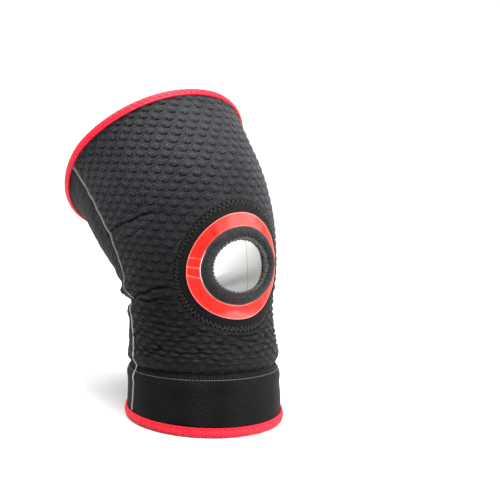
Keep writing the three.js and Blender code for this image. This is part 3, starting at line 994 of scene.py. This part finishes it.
def strip_section(start, end, low, high, cuts):
    """Models a flat strip's section: a rectangle of edges with its long sides cut finer."""
    middle = TURNING_RADIUS + (start + end) / 2
    place = (middle, 0, (low + high) / 2)
    bpy.ops.mesh.primitive_plane_add(size=1, location=place, rotation=(math.pi / 2, 0, 0))
    bpy.ops.transform.resize(value=(end - start, 1, high - low))
    bpy.ops.object.mode_set(mode="EDIT")
    bpy.ops.mesh.select_all(action="SELECT")
    bpy.ops.mesh.delete(type="ONLY_FACE")
    bpy.ops.mesh.select_all(action="SELECT")
    bpy.ops.mesh.subdivide(number_cuts=cuts)
    bpy.ops.object.mode_set(mode="OBJECT")


def round_hole(angle, out, height):
    """Points round the kneecap hole, at angles from its top, distances out from its edge and heights over
    the cloth, with their places on the flat pattern."""
    across = (HOLE_WIDTH / 2 + out) * np.sin(angle)
    up = (HOLE_HEIGHT / 2 + out) * np.cos(angle)
    distance = np.interp(up, front_lengths, line_distances)
    return leg_points(distance, -across / half_width(distance), height), across, up


def lay_round_hole(ring, relief):
    """Lays a turned ring round the kneecap hole, and gives each point's angle and distance out."""
    x, y, flat_height = points_of(ring).T
    angle = np.arctan2(x, y)
    out, height = relief(angle, np.hypot(x, y) - TURNING_RADIUS, flat_height)
    points, across, up = round_hole(angle, out, height)
    set_points(ring, points)
    map_cloth(ring, across, up)
    # painted shade in the ring's hollows and painted highlight where raised
    paint_shade_and_light(ring, height - flat_height, np.interp(up, front_lengths, line_distances))
    return angle, out


def patch_relief(angle, out, height):
    face = height > -WALL / 2
    roll = seam_roll(PATCH_END - out, PATCH_ROLL) - needle_dips(angle, out - PATCH_END)
    return out, height + np.where(face, roll, 0)


patch_start = PAD_RING + SEAM_GAP
kneecap_patch = spin_ring(
    "kneecap_patch_cloth", lambda: strip_section(patch_start, PATCH_END, -WALL, 0, cuts=15), RING_STEPS)
lay_round_hole(kneecap_patch, patch_relief)
finish_cloth(kneecap_patch, plain_knit)
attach(kneecap_patch, "root")
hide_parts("kneecap_patch")

border_stitch = model_stitch(BORDER_THREAD, arch=0.0007)
border_starts, border_ends = [], []
for rung in range(BORDER_RUNGS):
    angle = 2 * math.pi * rung / BORDER_RUNGS
    half = math.pi / BORDER_RUNGS
    slip = seam_draw.normal(0, BORDER_SLIPS, 3)
    inner, outer = PATCH_END + BORDER_ENDS[0], PATCH_END + BORDER_ENDS[1]
    border_starts += [(angle + slip[0], inner), (angle + half * 0.5 + slip[1], outer)]
    border_ends += [(angle + half * 0.5 + slip[1], outer), (angle + 2 * half + slip[2], inner)]


def on_border(run, out, height):
    return round_hole(run / BORDER_REACH, out, height - THREAD_SUNK)[0]


border = lay_stitches(
    "patch_border_stitches", border_stitch,
    [(angle * BORDER_REACH, out) for angle, out in border_starts],
    [(angle * BORDER_REACH, out) for angle, out in border_ends],
    on_border, black_thread)
bpy.data.objects.remove(border_stitch)
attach(border, "root")

# Kneecap film
# A ring of glossy red film bonded onto the patch. Its cut edges carry pale lines of painted highlight, and it
# has three faint creases across it on its outer side, where it has been folded, with painted highlights along
# them.
FILM_THICKNESS = 0.0004
FILM_LIFT = 0.0005
FILM_CREASES = (  # heights over the hole's middle, in the middle of the film, and how far each is raised
    {"up": -0.0053, "raised": 0.0002},
    {"up": 0.0018, "raised": 0.0002},
    {"up": 0.0092, "raised": 0.00012},
)
FILM_CREASE_FALL = 0.3  # slope, down towards the hole
FILM_LINE = 0.0005  # how wide the creases and the painted highlights along the edges are
FILM_WAVES = 0.00012
# painted highlight along the film's cut edges
EDGE_HIGHLIGHT = 0.6
FULL_HIGHLIGHT_RAISE = 0.0004  # a crease raised as far as this gets the full painted highlight


def crease_line(crease, angle, out):
    """How near places on the film's outer side are to a crease: 1 on its line, 0 away from it."""
    from_middle = (HOLE_WIDTH / 2 + out) * np.sin(angle) + HOLE_WIDTH / 2 + patch_start + FILM_RING / 2
    away = (HOLE_HEIGHT / 2 + out) * np.cos(angle) - crease["up"] + FILM_CREASE_FALL * from_middle
    return np.where(np.sin(angle) < 0, np.exp(-((away / FILM_LINE) ** 2)), 0)


def film_relief(angle, out, height):
    raised = FILM_WAVES * ripple(angle * 0.035, out, 0.012, 31)
    for crease in FILM_CREASES:
        raised = raised + crease["raised"] * crease_line(crease, angle, out)
    return out, height + raised


film_end = patch_start + FILM_RING
film_top = FILM_LIFT + FILM_THICKNESS
film = spin_ring(
    "kneecap_film_ring",
    lambda: strip_section(patch_start, film_end, FILM_LIFT, film_top, cuts=9), RING_STEPS * 2)
film_angle, film_out = lay_round_hole(film, film_relief)
# Painted highlights: pale lines along the film's cut edges and on its raised creases
edge_away = np.minimum(film_out - patch_start, film_end - film_out)
highlight_amounts = EDGE_HIGHLIGHT * np.exp(-((edge_away / FILM_LINE) ** 2))
for crease in FILM_CREASES:
    highlight_amounts += crease["raised"] / FULL_HIGHLIGHT_RAISE * crease_line(crease, film_angle, film_out)
keep_mark(film, "painted_highlight", np.clip(highlight_amounts, 0, 1))

film_finish, film_shader = new_finish("glossy_film", roughness=0.35, specular=0.05)
# the pale red is the painted highlight
reds = {"A": (0.55, 0.008, 0.003, 1), "B": (0.9, 0.25, 0.2, 1), "Factor": read_mark(film_finish, "painted_highlight")}
film_shades = add_blend(film_finish, reds)
feed(film_finish, film_shader, {"Base Color": film_shades, "Coat Weight": 0.27, "Coat Roughness": 0.27})
film.data.materials.append(film_finish)
select_alone(film)
bpy.ops.object.shade_smooth_by_angle(angle=SHARP_ANGLE)
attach(film, "root")
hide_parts("kneecap_film")

# Kneecap pad
# A stuffed roll of stretched fine mesh knit round the edge of the hole, sewn down beside the film. Rough
# loops of grey overlock thread close it on its inner side, and pucker it there.
PAD_THICKNESS = 0.0105
PAD_RISE = 0.0063
PAD_SECTION_SIDES = 40
PAD_STEPS = 320
PAD_PUCKERS = 46
PUCKER_DEPTH = 0.13  # as shares of the roll's radius
LUMP_DEPTH = 0.03
SHRINKAGE = 0.02
INNER_SIDE = (0.45, 1)  # from there on inwards, the roll is puckered
LOOP_THREAD = 0.0008
LOOPS = 115
LOOP_ROWS = (-0.0022, 0.0026)  # how far up and down from the roll's inner side
LOOP_SLIPS = 0.0004
LOOP_SLANT = 0.0012
LOOP_WIDTH = 0.0009
LOOP_WIDTH_SLIPS = 0.0003

pad_middle = (PAD_RING / 2, PAD_RISE - PAD_THICKNESS / 2)


def pad_section():
    place = (TURNING_RADIUS + pad_middle[0], 0, pad_middle[1])
    bpy.ops.mesh.primitive_circle_add(
        vertices=PAD_SECTION_SIDES, radius=PAD_RING / 2, location=place, rotation=(math.pi / 2, 0, 0))
    bpy.ops.transform.resize(value=(1, 1, PAD_THICKNESS / PAD_RING))


def pad_pucker(angle, inner):
    """How far the thread pulls the roll in, as a share of its radius."""
    gathers = 0.5 - 0.5 * np.cos(angle * PAD_PUCKERS + 0.9 * ripple(angle * 0.03, angle * 0, 0.02, 43))
    return PUCKER_DEPTH * inner * gathers


def pad_relief(angle, out, height):
    sideways, upwards = out - pad_middle[0], height - pad_middle[1]
    inner = smooth_step(-sideways / (PAD_RING / 2), *INNER_SIDE)
    lumps = LUMP_DEPTH * ripple(angle * 0.03, np.arctan2(upwards, sideways) * 0.006, 0.013, 41)
    shrink = 1 - pad_pucker(angle, inner) - SHRINKAGE + np.clip(lumps, -LUMP_DEPTH, SHRINKAGE)
    return pad_middle[0] + sideways * shrink, pad_middle[1] + upwards * shrink


pad_knit = knit_finish(
    "pad_knit", dark=(0.002, 0.002, 0.0023), light=(0.044, 0.044, 0.046),
    grain_size=0.0006, knit_size=0.0006, knit_depth=0.0002, roughness=0.5, sheen=0.1, on_cloth=False)
pad = spin_ring("kneecap_pad_roll", pad_section, PAD_STEPS)
lay_round_hole(pad, pad_relief)
pad.data.attributes.remove(pad.data.attributes["painted_lightness"])
pad.data.materials.append(pad_knit)
select_alone(pad)
bpy.ops.object.shade_smooth()
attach(pad, "root")
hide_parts("kneecap_pad")


def on_pad_side(run, down, height):
    """Places on the roll's inner side: lengths round it, and down it from its innermost line."""
    section_turn = math.pi + down / (PAD_RING / 2)
    angle = run / HOLE_REACH
    radius = 1 - pad_pucker(angle, smooth_step(-np.cos(section_turn), *INNER_SIDE))
    out = pad_middle[0] + (PAD_RING / 2 * radius + height) * np.cos(section_turn)
    rise = pad_middle[1] + (PAD_THICKNESS / 2 * radius + height) * np.sin(section_turn)
    return round_hole(angle, out, rise)[0]


overlock_thread = thread_finish("overlock_thread", (0.003, 0.003, 0.003), (0.16, 0.16, 0.155), roughness=0.6)
loop_stitch = model_stitch(LOOP_THREAD, arch=0.0005)
loop_draw = np.random.default_rng(61)
loop_starts, loop_ends = [], []
for loop in range(LOOPS):
    run = 2 * math.pi * HOLE_REACH * loop / LOOPS
    top, bottom = (row + loop_draw.normal(0, LOOP_SLIPS) for row in LOOP_ROWS)
    slant = loop_draw.uniform(-LOOP_SLANT, LOOP_SLANT)
    loop_starts += [(run, top), (run + slant, bottom)]
    loop_ends += [(run + slant, bottom), (run + LOOP_WIDTH + loop_draw.normal(0, LOOP_WIDTH_SLIPS), top)]
pad_loops = lay_stitches(
    "pad_overlock_loops", loop_stitch, loop_starts, loop_ends, on_pad_side, overlock_thread)
bpy.data.objects.remove(loop_stitch)
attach(pad_loops, "root")

# Hem tapes
# Red elastic tape folded over each hem, one leg outside and one inside, and fixed with a zigzag of red thread
# through all layers. The needle pulls a dimple in the tape at each turn of the thread.
TAPE_STEPS = 768
TAPE_LEG_STEPS = 10
TAPE_FOLD = 0.5  # how deep the fold is, as a share of a half round
TAPE_FOLD_SIDES = 24
TAPE_SWELL = 0.0002
SWELL_AT = 0.0015  # from the fold
SWELL_REACH = 0.0018
ZIGZAG_PITCH = 0.0053
ZIGZAG_TURNS = ({"depth": 0.0024, "phase": 0}, {"depth": 0.0052, "phase": 0.5})
ZIGZAG_THREAD = 0.0006
DIMPLE_SIZE = 0.001
DIMPLE_DEPTH = 0.0007
ZIGZAG_SUNK = 0.0001

fold_radius = (SEAM_GAP * 2 + WALL + TAPE_THICKNESS) / 2
fold_depth = fold_radius * TAPE_FOLD


def tape_section():
    """Models a folded tape's middle line: a flattened half round, and a straight leg on each side."""
    place = (TURNING_RADIUS - WALL / 2, 0, fold_depth + TAPE_THICKNESS / 2)
    bpy.ops.mesh.primitive_circle_add(
        vertices=TAPE_FOLD_SIDES, radius=fold_radius, location=place, rotation=(math.pi / 2, 0, 0))
    bpy.ops.transform.resize(value=(1, 1, TAPE_FOLD))
    bpy.ops.object.transform_apply(location=True, rotation=True, scale=True)
    line = bpy.context.object

    def select_over(level):
        bpy.ops.object.mode_set(mode="EDIT")
        bpy.ops.mesh.select_mode(type="VERT")
        bpy.ops.mesh.select_all(action="DESELECT")
        bpy.ops.object.mode_set(mode="OBJECT")
        line.data.vertices.foreach_set("select", points_of(line)[:, 2] > level)
        bpy.ops.object.mode_set(mode="EDIT")

    select_over(place[2] + 1e-5)
    bpy.ops.mesh.delete(type="VERT")
    bpy.ops.object.mode_set(mode="OBJECT")
    select_over(place[2] - 1e-5)
    for _ in range(TAPE_LEG_STEPS):
        move = (0, 0, (TAPE_WIDTH - place[2]) / TAPE_LEG_STEPS)
        bpy.ops.mesh.extrude_vertices_move(TRANSFORM_OT_translate={"value": move})
    bpy.ops.object.mode_set(mode="OBJECT")


def tape_finish():
    """Woven red elastic: fine ribs across the tape, uneven dye, and needle holes darkened with painted shade
    in their dimples.
    """
    finish, shader = new_finish("red_elastic", roughness=0.55, specular=0.2)
    place = cloth_place(finish)
    patches = add_node(finish, "ShaderNodeTexNoise", {"Vector": place, "Scale": 300})
    dark, light, needle_hole_shade = (0.45, 0.003, 0.012, 1), (0.78, 0.01, 0.03, 1), (0.16, 0.001, 0.005, 1)
    reds = add_blend(finish, {"A": dark, "B": light, "Factor": patches.outputs["Fac"]})
    shades = add_blend(finish, {"A": reds, "B": needle_hole_shade, "Factor": read_mark(finish, "needle_hole_shade")})
    feed(finish, shader, {"Base Color": shades, "Sheen Weight": 0.03, "Sheen Tint": (1, 0.35, 0.4, 1)})
    weave = add_node(finish, "ShaderNodeTexWave", {"Vector": place, "Scale": 220, "Distortion": 1})
    add_bump(finish, shader, weave.outputs["Fac"], strength=0.6, depth=0.00012)
    return finish


red_elastic = tape_finish()
red_thread = thread_finish("red_thread", (0.6, 0.01, 0.03), (0.9, 0.04, 0.08), roughness=0.5)
for name, node, hem_of, inwards in (
    ("calf_tape", "calf_binding", lambda turn: turn * 0, 1),
    ("thigh_tape", "thigh_binding", thigh_hem, -1),
):
    lengths = girth_line(hem_of(around))
    repeats = round(lengths[-1] / ZIGZAG_PITCH)
    tape = spin_ring(name, tape_section, TAPE_STEPS)
    x, y, depth = points_of(tape).T
    turn, height = np.arctan2(x, y), np.hypot(x, y) - TURNING_RADIUS
    run = np.interp(turn, around, lengths)
    count = run / lengths[-1] * repeats
    pull = np.zeros_like(run)
    for row in ZIGZAG_TURNS:
        along = (count - row["phase"] - np.round(count - row["phase"])) * ZIGZAG_PITCH
        away = np.hypot(along, depth - row["depth"])
        pull = np.maximum(pull, np.exp(-((away / DIMPLE_SIZE) ** 2)))
    swell = TAPE_SWELL * np.cos(2 * math.pi * count) * np.exp(-(((depth - SWELL_AT) / SWELL_REACH) ** 2))
    outside = height > -WALL / 2
    height = height + np.where(outside, swell - DIMPLE_DEPTH * pull, DIMPLE_DEPTH * pull)
    set_points(tape, leg_points(hem_of(turn) + inwards * depth, turn, height))
    map_cloth(tape, run, depth)
    # painted shade in the needle dimples, darkest where the needle pulls the tape deepest
    keep_mark(tape, "needle_hole_shade", np.clip(pull * 1.7 - 0.3, 0, 1))
    turn_faces_outwards()
    thick = tape.modifiers.new("thickness", "SOLIDIFY")
    thick.thickness = TAPE_THICKNESS
    thick.offset = 0
    bpy.ops.object.modifier_apply(modifier="thickness")
    tape.data.materials.append(red_elastic)
    bpy.ops.object.shade_smooth_by_angle(angle=SHARP_ANGLE)
    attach(tape, "root")
    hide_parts(node)

    zigzag_stitch = model_stitch(ZIGZAG_THREAD, arch=0.0005)
    upper, lower = ZIGZAG_TURNS
    pitch = lengths[-1] / repeats
    starts, ends = [], []
    for repeat in range(repeats):
        starts += [(repeat * pitch, upper["depth"]), ((repeat + 0.5) * pitch, lower["depth"])]
        ends += [((repeat + 0.5) * pitch, lower["depth"]), ((repeat + 1) * pitch, upper["depth"])]
    for face, face_height, outwards in (
        ("outer", SEAM_GAP + TAPE_THICKNESS, 1),
        ("inner", -WALL - SEAM_GAP - TAPE_THICKNESS, -1),
    ):

        def on_tape(run, depth, height):
            turn = np.interp(run, lengths, around)
            over_face = outwards * (height - ZIGZAG_SUNK)
            return leg_points(hem_of(turn) + inwards * depth, turn, face_height + over_face)

        zigzag = lay_stitches(f"{name}_{face}_zigzag", zigzag_stitch, starts, ends, on_tape, red_thread)
        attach(zigzag, "root")
    bpy.data.objects.remove(zigzag_stitch)
